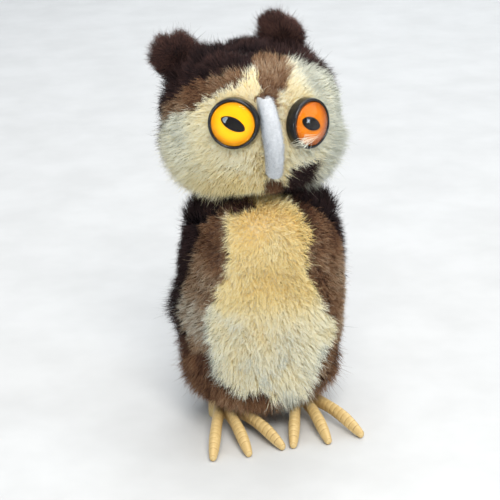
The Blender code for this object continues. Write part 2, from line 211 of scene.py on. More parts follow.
def wave_noise(points, scale, seed):
    """Smooth noise from a few sine waves, between about -1 and 1."""
    local = np.random.default_rng(seed)
    total = np.zeros(len(points))
    for _ in range(5):
        direction = local.normal(size=3)
        direction /= np.linalg.norm(direction)
        total += np.sin(points @ direction / scale * local.uniform(0.7, 1.6) + local.uniform(0, math.tau))
    return total / 2.6


def stand_for(piece, slot_name, body, *nodes):
    """Gives a piece its body and hides the CAD nodes that it replaces, if any. slot_name is not used."""
    if nodes:
        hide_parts(*nodes)
    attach(piece, body)


def body_shift(height_mm):
    return BODY_OFFSET * table(BODY_LEAN, height_mm)


def beside(points, shift=0.0):
    """How far points are to the owl's left of the middle."""
    return points[..., 0] - AXIS_X - shift


def turn_round(points, shift=0.0):
    """Degrees round from the front, + towards the owl's left."""
    return np.degrees(np.arctan2(beside(points, shift), -(points[:, 1] - AXIS_Y) / DEPTH_RATIO))


# ---- materials

def principled(name, colour, roughness, **sockets):
    made = bpy.data.materials.new(name)
    made.use_nodes = True
    inputs = made.node_tree.nodes["Principled BSDF"].inputs
    inputs["Base Color"].default_value = (*colour, 1.0)
    inputs["Roughness"].default_value = roughness
    for socket, value in sockets.items():
        inputs[socket.replace("_", " ").title().replace("Ior", "IOR")].default_value = value
    return made


def add_node(material, kind, output, inputs=None, operation=None):
    """Adds a node and gives one of its outputs. An input is a value or another output."""
    tree = material.node_tree
    made = tree.nodes.new("ShaderNode" + kind)
    if operation:
        made.operation = operation
    for socket, value in (inputs or {}).items():
        if isinstance(value, bpy.types.NodeSocket):
            tree.links.new(value, made.inputs[socket])
        else:
            made.inputs[socket].default_value = value
    return made.outputs[output]


def drive(material, socket, source):
    """Feeds an input of the material's shader from a node's output."""
    tree = material.node_tree
    tree.links.new(source, tree.nodes["Principled BSDF"].inputs[socket])


def object_noise(material, scale):
    place = add_node(material, "TexCoord", "Object")
    inputs = {"Scale": scale, "Detail": 3.0, "Roughness": 0.6, "Vector": place}
    return add_node(material, "TexNoise", "Fac", inputs)


def add_ramp(material, factor, stops):
    """Colours the surface along a ramp of (place, tone) stops."""
    colour = add_node(material, "ValToRGB", "Color", {"Fac": factor})
    elements = colour.node.color_ramp.elements
    while len(elements) < len(stops):
        elements.new(0.5)
    for element, (place, tone) in zip(elements, stops):
        element.position = place
        element.color = (*tone, 1.0)
    drive(material, "Base Color", colour)


def add_bump(material, height, strength, distance):
    inputs = {"Strength": strength, "Distance": distance, "Height": height}
    drive(material, "Normal", add_node(material, "Bump", "Normal", inputs))


def add_roughness(material, factor, low, high):
    inputs = {"To Min": low, "To Max": high, "Value": factor}
    drive(material, "Roughness", add_node(material, "MapRange", "Result", inputs))


def mottled(name, dark, light, scale, roughness, bump=0.0, **sockets):
    """Two tones mixed by object-space noise, with uneven roughness and a fine bump."""
    made = principled(name, dark, roughness, **sockets)
    noise = object_noise(made, scale)
    add_ramp(made, noise, ((0.35, dark), (0.65, light)))
    add_roughness(made, noise, roughness * 0.85, min(roughness * 1.15, 1.0))
    if bump:
        add_bump(made, object_noise(made, scale * 2.5), 0.5, bump)
    return made


def iris_material(name, centre, ring, edge):
    """Paint under the lens: brightest round the middle, deeper towards the rim, with faint radial streaks."""
    made = principled(name, centre, 0.6, specular_ior_level=0.03)
    flatten = {0: add_node(made, "TexCoord", "Object"), 1: (1 / IRIS_RADIUS, 1 / IRIS_RADIUS, 0)}
    flat = add_node(made, "VectorMath", "Vector", flatten, "MULTIPLY")
    length = add_node(made, "VectorMath", "Value", {0: flat}, "LENGTH")
    around = add_node(made, "VectorMath", "Vector", {0: flat}, "NORMALIZE")
    streaks = add_node(made, "TexNoise", "Fac", {"Scale": 9.0, "Detail": 4.0, "Vector": around})
    shifted = add_node(made, "Math", "Value", {0: streaks, 1: 0.16, 2: length}, "MULTIPLY_ADD")
    add_ramp(made, shifted, ((0.3, centre), (0.75, ring), (1.08, edge)))
    return made


def lens_material(name):
    """Clear acrylic. Shadow rays pass straight through, so that the paint below is lit."""
    made = principled(name, (1.0, 1.0, 1.0), 0.03, transmission_weight=1.0, ior=1.2)
    nodes = made.node_tree.nodes
    acrylic = nodes["Principled BSDF"].outputs["BSDF"]
    clear = add_node(made, "BsdfTransparent", "BSDF")
    shadow = add_node(made, "LightPath", "Is Shadow Ray")
    mix = add_node(made, "MixShader", "Shader", {"Fac": shadow, 1: acrylic, 2: clear})
    made.node_tree.links.new(mix, nodes["Material Output"].inputs["Surface"])
    return made


def toe_material(name):
    """Tan moulded plastic, paler where it is proud, as wear and as a painted highlight, and browner in the
    grooves as painted shade.
    """
    pale = (0.62, 0.44, 0.19)
    tan = (0.49, 0.32, 0.115)
    # The groove tone is painted shade in the hollows between the scutes
    groove = (0.21, 0.13, 0.05)
    made = principled(name, tan, 0.5, specular_ior_level=0.45)
    proud = add_node(made, "NewGeometry", "Pointiness")
    noise = object_noise(made, 500.0)
    # Pointiness with a little noise: pale on the ridges as wear and painted highlight, brown in the grooves
    # as painted shade
    wear_and_painted_light = add_node(made, "Math", "Value", {0: noise, 1: 0.06, 2: proud}, "MULTIPLY_ADD")
    add_ramp(made, wear_and_painted_light, ((0.485, groove), (0.525, tan), (0.58, pale)))
    add_roughness(made, noise, 0.38, 0.62)
    add_bump(made, object_noise(made, 1600.0), 0.25, 0.1 * MM)
    return made


def assign(material, obj):
    obj.data.materials.clear()
    obj.data.materials.append(material)


# ---- tones of the pile

# Each family runs from its deepest tone to its palest.
RAMPS = {
    "cream": (
        (0.82, 0.58, 0.20), (0.86, 0.69, 0.31), (0.88, 0.75, 0.42), (0.86, 0.78, 0.53), (0.84, 0.80, 0.63),
        (0.55, 0.55, 0.46),
    ),
    "brown": (
        (0.075, 0.034, 0.020), (0.175, 0.085, 0.042), (0.27, 0.155, 0.085), (0.38, 0.275, 0.175),
        (0.50, 0.44, 0.34),
    ),
    "dark": ((0.010, 0.006, 0.007), (0.020, 0.011, 0.011), (0.042, 0.021, 0.018), (0.10, 0.048, 0.036)),
    "felt": ((0.48, 0.485, 0.49), (0.60, 0.605, 0.61)),
}
TONES = []
FIRST_TONE = {}
for family, colours in RAMPS.items():
    FIRST_TONE[family] = len(TONES)
    for number, colour in enumerate(colours, start=1):
        TONES.append(principled(f"{family} pile {number}", colour, 0.85, specular_ior_level=0.12))


def tones(family, value, rng):
    """Tone numbers for values along a family's ramp, dithered between neighbours."""
    last = len(RAMPS[family]) - 1
    dithered = np.floor(value + rng.random(len(value))[:, None])
    return FIRST_TONE[family] + np.clip(dithered, 0, last).astype(np.int32)


# ---- stuffed forms

BACKING_TONES = {
    "dark": ((0.018, 0.011, 0.010), (0.05, 0.03, 0.024)),
    "brown": ((0.10, 0.055, 0.032), (0.20, 0.12, 0.075)),
    "cream": ((0.62, 0.47, 0.24), (0.80, 0.68, 0.42)),
}
BACKINGS = {}
for family, pair in BACKING_TONES.items():
    BACKINGS[family] = mottled(family + " backing", *pair, 900.0, 0.95, 0.3 * MM)
SIMULATION_SCALE = 10.0
SIMULATION_FRAMES = 20


def inflate(obj, voxel, cap):
    """Blows a closed form up as pressurised cloth, with every point held within cap of where it began."""
    obj.data.transform(Matrix.Scale(SIMULATION_SCALE, 4))
    modify(obj, "REMESH", mode="VOXEL", voxel_size=voxel * SIMULATION_SCALE)
    bake_modifiers(obj)
    before = coordinates(obj.data)
    cloth = obj.modifiers.new("cloth", "CLOTH")
    cloth.settings.use_pressure = True
    cloth.settings.uniform_pressure_force = 4.0
    cloth.settings.effector_weights.gravity = 0.0
    cloth.point_cache.frame_end = SIMULATION_FRAMES
    for step in range(1, SIMULATION_FRAMES + 1):
        bpy.context.scene.frame_set(step)
    graph = bpy.context.evaluated_depsgraph_get()
    after = coordinates(obj.evaluated_get(graph).data)
    obj.modifiers.clear()
    bpy.context.scene.frame_set(1)
    move = after - before
    length = np.linalg.norm(move, axis=1, keepdims=True)
    move *= np.minimum(1, cap * SIMULATION_SCALE / np.maximum(length, 1e-9))
    set_coordinates(obj.data, before + move)
    obj.data.transform(Matrix.Scale(1 / SIMULATION_SCALE, 4))
    modify(obj, "SUBSURF", levels=1, render_levels=1)
    bake_modifiers(obj)
    obj.data.shade_smooth()
    return obj


SEAM_DEPTH = 0.5 * MM
SEAM_WIDTH = 0.9 * MM


def pull_in_seams(obj, seams):
    """Draws the fabric in along the seams that run up the body, as sewing does."""
    points = coordinates(obj.data)
    height, turn = round_body(points)
    radius = np.hypot(beside(points, body_shift(height)), points[:, 1] - AXIS_Y)
    away = np.full(len(points), 1.0)
    for seam in seams:
        away = np.minimum(away, np.abs(np.radians(turn - table(seam, height))) * radius)
    push_out(obj.data, -SEAM_DEPTH * np.exp(-((away / SEAM_WIDTH) ** 2)))


def round_form(name, shape, half, low, high):
    """A stuffed bag under the pile, cut a little small before it is blown up."""
    inside = half - BACKING_DEPTH
    bottom = low + BACKING_DEPTH
    height = high - low - 2 * BACKING_DEPTH
    outline = np.clip(smooth_curve(shape), 0, None)
    outline[[0, -1], 0] = 0
    form = lathe(name, outline * (inside, height) + (0, bottom), depth=DEPTH_RATIO)
    form.data.transform(Matrix.Translation((AXIS_X, AXIS_Y, 0)))
    return form


def colour_backing(form, cream, brown):
    """Gives the faces under the cream and the brown pile their own backing. The rest keep the first one."""
    centres = coordinates(form.data, "polygons", "center")
    slots = np.where(cream(centres), 1, np.where(brown(centres), 2, 0)).astype(np.int32)
    form.data.materials.append(BACKINGS["cream"])
    form.data.materials.append(BACKINGS["brown"])
    form.data.polygons.foreach_set("material_index", slots)


def finish_form(form, body, slot_name, *nodes):
    assign(BACKINGS["dark"], form)
    stand_for(form, slot_name, body, *nodes)


# ---- pile

# Where a strand's stations lie along it, and its share of the width at all but the last, its tip
STEPS = np.array([0.0, 0.36, 0.72, 1.0])
WIDTH_SHARE = (1.0, 0.95, 0.62)
STRAY_SHARE = 0.07
EVERY = slice(None)


def scatter(obj, count, rng):
    """Points spread evenly over a mesh, with smooth normals."""
    mesh = obj.data
    mesh.calc_loop_triangles()
    tri = np.empty(len(mesh.loop_triangles) * 3, np.int32)
    mesh.loop_triangles.foreach_get("vertices", tri)
    tri = tri.reshape(-1, 3)
    co = coordinates(mesh)
    no = coordinates(mesh, what="normal")
    corner = co[tri]
    area = np.linalg.norm(np.cross(corner[:, 1] - corner[:, 0], corner[:, 2] - corner[:, 0]), axis=1)
    chosen = rng.choice(len(tri), count, p=area / area.sum())
    a, b = rng.random(count), rng.random(count)
    flip = a + b > 1
    a[flip], b[flip] = 1 - a[flip], 1 - b[flip]
    weight = np.stack([1 - a - b, a, b], axis=1)[:, :, None]
    return (corner[chosen] * weight).sum(1), unit((no[tri[chosen]] * weight).sum(1))


def nearest(points, centres):
    tree = kdtree.KDTree(len(centres))
    for i, centre in enumerate(centres):
        tree.insert(centre, i)
    tree.balance()
    return np.array([tree.find(p)[1] for p in points])


def strand_mesh(name, stations, across, normals, tone):
    """One mesh of flat tapering strands, each with seven points and three faces."""
    count = len(stations)
    verts = np.empty((count, 7, 3), np.float32)
    for i, width in enumerate(WIDTH_SHARE):
        verts[:, 2 * i] = stations[:, i] - across * width
        verts[:, 2 * i + 1] = stations[:, i] + across * width
    verts[:, 6] = stations[:, 3]
    corners = np.array([0, 1, 3, 2, 2, 3, 5, 4, 4, 5, 6], np.int32)
    each = np.arange(count, dtype=np.int32)[:, None]
    loops = (each * 7 + corners).ravel()
    starts = (each * 11 + np.array([0, 4, 8], np.int32)).ravel()
    used, slots = np.unique(tone, return_inverse=True)
    mesh = bpy.data.meshes.new(name)
    mesh.vertices.add(count * 7)
    mesh.vertices.foreach_set("co", verts.ravel())
    mesh.loops.add(count * 11)
    mesh.loops.foreach_set("vertex_index", loops)
    mesh.polygons.add(count * 3)
    mesh.polygons.foreach_set("loop_start", starts)
    mesh.polygons.foreach_set("material_index", slots.astype(np.int32).ravel())
    mesh.update(calc_edges=True)
    for number in used:
        mesh.materials.append(TONES[number])
    mesh.shade_smooth()
    mesh.normals_split_custom_set_from_vertices(np.repeat(normals, 7, axis=0).tolist())
    return new_object(name, mesh)


class Coat:
    """All the pile of one stuffed form, before it is split into panels."""

    def __init__(self, form, count, clump, seed):
        self.rng = np.random.default_rng(seed)
        self.roots, self.normals = scatter(form, count, self.rng)
        self.clump(clump)

    def clump(self, size):
        """Gathers the strands round some of them. place is each strand's clump root."""
        picked = self.rng.choice(len(self.roots), max(len(self.roots) // size, 4), replace=False)
        self.of = nearest(self.roots, self.roots[picked])
        self.clumps = len(picked)
        self.place = self.roots[picked][self.of]

    def noise(self, scale_mm, seed):
        """Smooth noise that is the same for all the strands of a clump."""
        return wave_noise(self.place, scale_mm * MM, seed)

    def keep(self, mask):
        self.roots, self.normals = self.roots[mask], self.normals[mask]
        self.of, self.place = self.of[mask], self.place[mask]

    def grow(self, comb, length, lean, pull, width, crinkle, spread=0.24):
        """Strand stations. comb is a direction, and length, lean and pull a number, for each strand."""
        rng = self.rng
        count = len(self.roots)
        flat = unit(comb - (comb * self.normals).sum(1, keepdims=True) * self.normals)
        jitter = rng.normal(scale=spread, size=(count, 3))
        lean = lean[:, None]
        stand = unit(self.normals * (1 - 0.35 * lean) + flat * (0.5 * lean) + jitter)
        lie = unit(self.normals * (1 - lean) + flat * lean + jitter * 1.5)
        own_length = length * rng.uniform(0.7, 1.1, count)
        stray = rng.random(count) < STRAY_SHARE
        own_length[stray] *= 1.22
        bend = stand[:, None] * (STEPS - STEPS**2 / 2)[:, None] + lie[:, None] * (STEPS**2 / 2)[:, None]
        stations = self.roots[:, None] + bend * own_length[:, None, None]
        tips = stations[:, 3]
        members = np.maximum(np.bincount(self.of, minlength=self.clumps), 1)
        sums = [np.bincount(self.of, tips[:, i], self.clumps) for i in range(3)]
        centre = np.stack(sums, axis=1) / members[:, None]
        own_pull = pull * rng.uniform(0.45, 1.15, count)
        own_pull[stray] = 0.0
        stations += (centre[self.of] - tips)[:, None] * (own_pull[:, None] * STEPS**1.5)[:, :, None]
        side = unit(np.cross(stand, rng.normal(size=(count, 3))))
        swing = np.sin(STEPS * 7.0 + rng.uniform(0, math.tau, count)[:, None]) * STEPS
        stations += side[:, None] * (swing * crinkle)[:, :, None]
        along = unit(stations[:, 2] - stations[:, 0])
        across = unit(np.cross(along, rng.normal(size=(count, 3))))
        facing = np.cross(across, along)
        turned = (facing * self.normals).sum(1) < 0
        across[turned] *= -1
        facing[turned] *= -1
        self.soft_normals = unit(self.normals * 0.6 + facing * 0.4)
        own_width = width * rng.uniform(0.7, 1.2, count)
        own_width[stray] *= 0.7
        self.stations = stations
        self.across = across * own_width[:, None]
        self.tone = np.zeros((count, 3), np.int32)

    def paint(self, mask, family, value, tip=1.0):
        """Tones along the family's ramp: deeper at the root, partly as painted shade in the gaps between
        clumps, and paler at the tip.
        """
        # The deeper root tone is partly painted shade between the clumps
        steps = np.array([-1.2, 0.0, 0.8]) * tip
        self.tone[mask] = tones(family, value[mask][:, None] + steps, self.rng)

    def stay_above_floor(self):
        self.stations[:, :, 2] = np.maximum(self.stations[:, :, 2], 0.15 * MM)


def add_pile(name, coat, mask, slot_name, body, *nodes):
    pile = strand_mesh(name, coat.stations[mask], coat.across[mask], coat.soft_normals[mask], coat.tone[mask])
    stand_for(pile, slot_name, body, *nodes)
    return pile


def add_pair(name, coat, mask, left, slot_name, body, node_name):
    """The same pile on the owl's left and right, each standing for the panel on its side."""
    add_pile(name + "_left", coat, mask & left, slot_name, body, node_name + "_left")
    add_pile(name + "_right", coat, mask & ~left, slot_name, body, node_name + "_right")


# ---- body

# Above this height the sides and back of the body are painted dark: dark fur there, and painted shade in the
# gap under the head.
COLLAR_FUR_AND_SHADE_Z = 59.6
# The brown fringe under the bib: (degrees round, height in millimetres)
HEM = (
    (-90, 22), (-62, 21), (-46, 16), (-30, 13), (4, 10.5), (12, 7.5), (22, 7.5), (28, 11), (40, 13), (60, 15),
    (90, 16),
)


def round_body(points):
    """Height in millimetres, and degrees round the body's own leaning axis."""
    height = points[:, 2] / MM
    return height, turn_round(points, body_shift(height))


def on_bib(points):
    height, turn = round_body(points)
    return (turn > table(BIB_RIGHT, height)) & (turn < table(BIB_LEFT, height)) & (height > table(HEM, turn))


def on_sides(points):
    height, turn = round_body(points)
    return (turn > table(SIDE_RIGHT, height)) & (turn < table(SIDE_LEFT, height))


def paint_body(coat, turn, height, ragged, bib, side, back, hem):
    """The breast is yellow, and paler towards its right edge and the belly. The sides are patchy."""
    left = turn > 0
    margin = ease(11, 3, turn - table(BIB_RIGHT, height)) * 1.3
    belly = ease(40, 29, height + 1.5 * ragged)
    streaks = ease(0.35, 0.8, coat.noise(1.7, 12)) * belly * 1.1
    breast = 0.9 + margin + 2.4 * belly + streaks + 0.5 * ragged
    coat.paint(bib, "cream", breast)
    patches = coat.noise(2.4, 17)
    tan = 1.2 * ease(52, 74, -turn) * ease(50, 38, height) * ease(14, 24, height)
    tan += 0.9 * ease(44, 66, turn) * ease(16, 26, height)
    notch = left & (height > 40) & (height < 48) & (turn < 34)
    low = 0.9 * ease(24, 17, height) * ease(40, 60, -turn)
    coat.paint(side, "brown", 1.3 - 0.3 * left + tan - 1.1 * notch - low + 0.9 * patches)
    coat.paint(back, "dark", 1.1 + 0.35 * ragged, 0.8)
    coat.paint(hem, "brown", 1.15 - 0.8 * ease(46, 62, -turn) + 0.6 * ragged)
    # Dark round the sides and back at the top: dark fur, and also painted shade in the gap under the head.
    collar_fur_and_shade = (height + 0.5 * ragged > COLLAR_FUR_AND_SHADE_Z) & (np.cos(np.radians(turn)) < 0.6)
    coat.paint(collar_fur_and_shade, "dark", 1.2 + 0.4 * ragged)
    wisp = bib & (height > 56.5) & (np.abs(turn + 32) < 14) & (ragged > 0.2)
    coat.paint(wisp, "dark", 2.2 + 0.4 * ragged)


def build_body(count):
    form = round_form("body_plush", BODY_SHAPE, BODY_HALF, BODY_LOW, BODY_TOP)
    points = coordinates(form.data)
    points[:, 0] += body_shift(points[:, 2] / MM)
    set_coordinates(form.data, points)
    inflate(form, 1.1 * MM, 0.6 * MM)
    pull_in_seams(form, (BIB_RIGHT, BIB_LEFT, SIDE_RIGHT, SIDE_LEFT))
    finish_form(form, "owl_body", "dark_pile", "body_stuffing", "base_panel")
    colour_backing(form, on_bib, on_sides)

    coat = Coat(form, count, 40, 5)
    z, bearing = round_body(coat.roots)
    bearing = np.radians(bearing)
    ragged = coat.noise(1.5, 3)
    place_z, turn = round_body(coat.place)
    turn += 4.5 * ragged
    in_front = np.cos(np.radians(turn)) > 0.3

    flare = 12 * ease(54.5, 58.5, place_z)
    bib = turn > table(BIB_RIGHT, place_z) - flare * 0.4
    bib &= turn < table(BIB_LEFT, place_z) + flare
    side = ~bib & (turn > table(SIDE_RIGHT, place_z)) & (turn < table(SIDE_LEFT, place_z))
    back = ~bib & ~side
    left = turn > 0
    hem = (place_z + ragged < table(HEM, turn)) & ~back
    shoulder = back & (place_z > 51) & (np.abs(turn) < 120)

    # Down, and a little sideways in slow swirls
    swirl = coat.noise(4, 8) * 0.4
    round_way = np.stack([np.cos(bearing), np.sin(bearing), np.zeros(count)], axis=1)
    comb = (0.0, 0.0, -1.0) + round_way * (swirl + 0.25 * np.sin(bearing))[:, None]
    comb[shoulder] = (0.0, -0.1, 1.0)
    length = 3.6 + 0.8 * ease(30, 14, z) * in_front + 0.5 * ragged
    length[side] = 3.3
    length[hem] = 6.2 + 1.2 * ease(62, 38, np.abs(turn))[hem]
    length[~hem & bib & (place_z < 13)] = 6.0
    length[shoulder] = 6.4
    bulge = np.exp(-(((turn + 104) / 16) ** 2) - ((place_z - 30) / 5) ** 2)
    wisps = np.exp(-(((turn - 96) / 9) ** 2) - ((place_z - 21) / 2) ** 2)
    length += 4.4 * bulge + 3.4 * wisps
    lean = 0.42 + 0.2 * coat.noise(2.2, 9) - 0.25 * bulge
    lean[hem] = 0.62
    lean[shoulder] = 0.8
    pull = 0.48 + 0.12 * side + 0.22 * ease(32, 16, z) * in_front
    pull += 0.15 * coat.noise(3.0, 10)
    crinkle = np.where(side, 0.30, 0.25) * MM
    coat.grow(comb, length * MM, np.clip(lean, 0.1, 0.85), pull, 0.048 * MM, crinkle[:, None], 0.3)
    coat.stay_above_floor()

    paint_body(coat, turn, place_z, ragged, bib, side, back, hem)
    add_pile("bib_pile", coat, bib & ~hem, "cream_pile", "owl_body", "bib_panel")
    add_pair("side_pile", coat, side | (hem & bib), left, "brown_pile", "owl_body", "side_panel")
    add_pair("back_pile", coat, back, left, "dark_pile", "owl_body", "back_panel")


# ---- eyes

EYE_RADIUS = 6.0 * MM
IRIS_RADIUS = 5.1 * MM
IRIS_NODE_HEIGHT = 1.65 * MM
IRIS_FLOOR = 2.1 * MM
EYE_TURN = math.radians(27.0)
EYE_LIFT = math.radians(4.0)
PUPIL_TILT = math.radians(-26.0)
PUPIL_HALF = (3.1 * MM, 1.5 * MM)
PLATE = 0.15 * MM
DOME = 1.35 * MM
DOME_LOW = 2.62 * MM
DOME_SKIN = 0.3 * MM

RIM_OUTLINE = (
    (0.0, -7.0), (1.6, -7.0), (1.6, -0.4), (1.9, 0.0), (5.6, 0.0), (5.9, 0.12), (6.0, 0.4), (6.0, 2.25),
    (5.94, 2.55), (5.8, 2.78), (5.6, 2.9), (5.42, 2.88), (5.3, 2.72), (5.22, 2.5), (5.18, 2.1), (0.0, 2.1),
)
# The painted disc: (share of IRIS_RADIUS, millimetres above IRIS_FLOOR)
DISH_OUTLINE = ((0.0, 0.02), (1.0, 0.06), (1.0, 0.3), (0.6, 0.25), (0.0, 0.22))


def eye_matrix(side, word):
    """The eye's own frame, origin on its seat and +Z the way it looks."""
    turn = Matrix.Rotation(side * EYE_TURN, 4, "Z") @ Matrix.Rotation(math.pi / 2 - EYE_LIFT, 4, "X")
    looks = turn @ Vector((0, 0, 1))
    iris = middle("eye_iris_" + word)
    seat = iris - looks * IRIS_NODE_HEIGHT
    return Matrix.Translation(seat) @ turn


EYES = {word: eye_matrix(side, word) for side, word in ((1, "left"), (-1, "right"))}


def pupil_mesh(name):
    """A thin almond with rounded points and a soft edge."""
    bm = bmesh.new()
    around = 72
    rings = []
    for share, height in ((1.0, 0.0), (1.0, 0.6), (0.96, 1.0)):
        ring = []
        for i in range(around):
            angle = math.tau * i / around
            x = math.cos(angle)
            y = math.copysign(abs(math.sin(angle)) ** 1.25, math.sin(angle))
            ring.append(bm.verts.new((x * PUPIL_HALF[0] * share, y * PUPIL_HALF[1] * share, height * PLATE)))
        rings.append(ring)
    join_rows(bm, rings, closed_across=True)
    bm.faces.new(rings[-1])
    bm.faces.new(list(reversed(rings[0])))
    return object_from(name, bm, smooth=False)


def build_eyes():
    cup_tones = (0.007, 0.006, 0.006), (0.013, 0.011, 0.010)
    pupil_tones = (0.003, 0.002, 0.002), (0.006, 0.005, 0.005)
    black = mottled("eye cup plastic", *cup_tones, 300.0, 0.2, specular_ior_level=0.35)
    pupil_black = mottled("pupil paint", *pupil_tones, 300.0, 0.7, specular_ior_level=0.05)
    clear = lens_material("clear lens")
    # Both eyes have one real paint. The owl's right eye gets a lit amber copy and its left a shaded, deeper
    # orange copy: painted light and shade for how each lens catches the light.
    paints = {
        "left": iris_material("orange iris shaded copy", (0.44, 0.118, 0.001), (0.43, 0.11, 0.001), (0.35, 0.072, 0.001)),
        "right": iris_material("amber iris lit copy", (0.80, 0.325, 0.002), (0.79, 0.315, 0.002), (0.64, 0.23, 0.001)),
    }
    for word, place in EYES.items():
        rim = lathe("eye_rim_" + word, np.array(RIM_OUTLINE) * MM, steps=96)
        dish = [(share * IRIS_RADIUS, IRIS_FLOOR + rise * MM) for share, rise in DISH_OUTLINE]
        iris = lathe("eye_disc_" + word, dish, steps=96)
        cap = [(share * IRIS_RADIUS, 1 - share**2.4) for share in np.linspace(0, 1, 14)]
        inner = [(radius, DOME_LOW + (DOME - DOME_SKIN) * rise) for radius, rise in cap]
        outer = [(radius, DOME_LOW + DOME_SKIN + (DOME - DOME_SKIN) * rise) for radius, rise in reversed(cap)]
        lens = lathe("eye_dome_" + word, inner + outer, steps=96)
        pupil = pupil_mesh("eye_slit_" + word)
        pupil.data.transform(Matrix.Rotation(PUPIL_TILT, 4, "Z"))
        pupil.data.transform(Matrix.Translation((0, 0, IRIS_FLOOR + 0.32 * MM)))
        made = (
            (rim, "eye_cup_" + word, "black_plastic", black),
            (iris, "eye_iris_" + word, "iris_paint", paints[word]),
            (pupil, "eye_pupil_" + word, "black_plastic", pupil_black),
            (lens, "eye_lens_" + word, "clear_lens", clear),
        )
        for piece, node_name, slot_name, material in made:
            piece.matrix_world = place
            assign(material, piece)
            stand_for(piece, slot_name, "owl_head", node_name)


def to_eye(points, place):
    inverse = np.array(place.inverted())
    return points @ inverse[:3, :3].T + inverse[:3, 3]


def in_eye_frame(points, place):
    """Distance from the eye's axis, height along it, and the direction away from it."""
    local = to_eye(points, place)
    radial = np.hypot(local[..., 0], local[..., 1])
    away = local.copy()
    away[..., 2] = 0
    away = unit(away) @ np.array(place)[:3, :3].T
    return radial, local[..., 2], away


# ---- beak

BEAK_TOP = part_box("beak")[1].z
BEAK_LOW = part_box("beak")[0].z
BEAK_HALF_WIDTH = 2.0 * MM
BEAK_BULGE = 2.6 * MM
BEAK_LEG = 4.4 * MM
BEAK_SHIFT = -0.6 * MM
BEAK_LEAN = -1.9 * MM
FELT = 1.1 * MM
BEAK_STRANDS = 9000


def beak_middle(height):
    """Where the beak's middle line runs across the face at a height."""
    return AXIS_X + BEAK_SHIFT + BEAK_LEAN * ((height - BEAK_LOW) / (BEAK_TOP - BEAK_LOW) - 0.5)


def head_front(height):
    """How far the head's CAD surface reaches forward of its axis at a height."""
    share = (height - NECK_Z) / (HEAD_TOP - NECK_Z)
    return DEPTH_RATIO * HEAD_HALF * table([(rise, width) for width, rise in HEAD_SHAPE], share)


def beak_section(width, leg, count=25):
    """Half of the fold to half: points (across, back) evenly spaced round a narrow U."""
    ring = [(width * math.sin(a), width * 1.15 * (1 - math.cos(a))) for a in np.linspace(0, math.pi / 2, 12)]
    half = ring + [(width, leg)]
    path = np.array([(-x, y) for x, y in reversed(half[1:])] + half)
    step = np.r_[0, np.cumsum(np.linalg.norm(np.diff(path, axis=0), axis=1))]
    at = np.linspace(0, step[-1], count)
    return np.stack([np.interp(at, step, line) for line in path.T], axis=1)


def build_beak():
    rows = []
    for down in np.linspace(0, 1, 48):
        height = BEAK_TOP + (BEAK_LOW - BEAK_TOP) * down
        ridge = head_front(height) + 0.9 * MM + BEAK_BULGE * math.sin(math.pi * down)
        swell = 0.84 + 0.16 * math.sin(math.pi * min(down * 1.3, 1.0))
        swell *= 0.62 + 0.38 * math.sqrt(min(down / 0.07, 1.0))
        swell *= 0.80 + 0.20 * math.sqrt(min((1 - down) / 0.05, 1.0))
        section = beak_section((BEAK_HALF_WIDTH - FELT / 2) * swell, BEAK_LEG)
        x, back = section.T
        drop = 0.6 * MM * (x / BEAK_HALF_WIDTH) ** 2 * (1.0 - 2.0 * down)
        row = (beak_middle(height) + x, AXIS_Y - ridge + FELT / 2 + back, height - drop)
        rows.append(np.stack(row, axis=1))
    beak = grid_mesh("beak_felt", rows, closed_across=False)
    push_out(beak.data, wave_noise(coordinates(beak.data), 0.9 * MM, 31) * 0.07 * MM)
    modify(beak, "SOLIDIFY", thickness=FELT, offset=0)
    modify(beak, "BEVEL", width=0.3 * MM, segments=3, limit_method="ANGLE")
    bake_modifiers(beak)
    beak.data.shade_smooth()
    assign(mottled("white felt", (0.49, 0.495, 0.50), (0.60, 0.605, 0.61), 1500.0, 0.95, 0.25 * MM), beak)
    stand_for(beak, "white_felt", "owl_head", "beak")

    fuzz = Coat(beak, BEAK_STRANDS, 6, 12)
    fuzz.keep(fuzz.roots[:, 1] < AXIS_Y - head_front(fuzz.roots[:, 2]) + 1.0 * MM)
    count = len(fuzz.roots)
    comb = fuzz.rng.normal(size=(count, 3))
    length = np.full(count, 0.75 * MM)
    fuzz.grow(comb, length, np.full(count, 0.75), np.zeros(count), 0.022 * MM, 0.1 * MM, 0.5)
    fuzz.paint(EVERY, "felt", np.full(count, 0.5))
    hairs = add_pile("beak_fuzz", fuzz, EVERY, "white_felt", "owl_head")


# ---- head

# Edges of the head's colours: (degrees round, height in millimetres), but PATCH_LEFT the other way about
DARK_LOW = (
    (-100, 79), (-85, 84.5), (-76, 87.5), (-67, 89.4), (-47, 92.0), (-23, 93.1), (-7, 93.8), (30, 94.2),
    (47, 93.6), (60, 91.4), (75, 88.0), (90, 84),
)
ARC_LOW = ((-100, 78), (-80, 81), (-69, 83), (-59, 85.4), (-49, 87.4), (-35, 89.3), (-21, 91), (-8, 93))
PATCH_LEFT = ((88, 5), (91, 19), (93.5, 33), (95, 42))
SCRUFF = ((8, 60), (11, 69.2), (17, 70.0), (24, 70.8), (41, 68.8), (50, 66), (60, 62))
# How many millimetres above its root a strand near the top of the head ends
TIP_RISE = 1.2


def on_brow(points):
    tip_z = points[:, 2] / MM + TIP_RISE
    turn = turn_round(points)
    arc = (turn > -98) & (turn < -8) & (tip_z > table(ARC_LOW, turn))
    patch = (tip_z > 87) & (turn > -8) & (turn < table(PATCH_LEFT, tip_z))
    return (arc | patch) & (tip_z < table(DARK_LOW, turn))


def on_face(points):
    height = points[:, 2] / MM
    turn = turn_round(points)
    pale = (height + TIP_RISE < table(DARK_LOW, turn)) & (np.abs(turn) < table(FACE, height) - 12)
    return pale & ~on_brow(points)


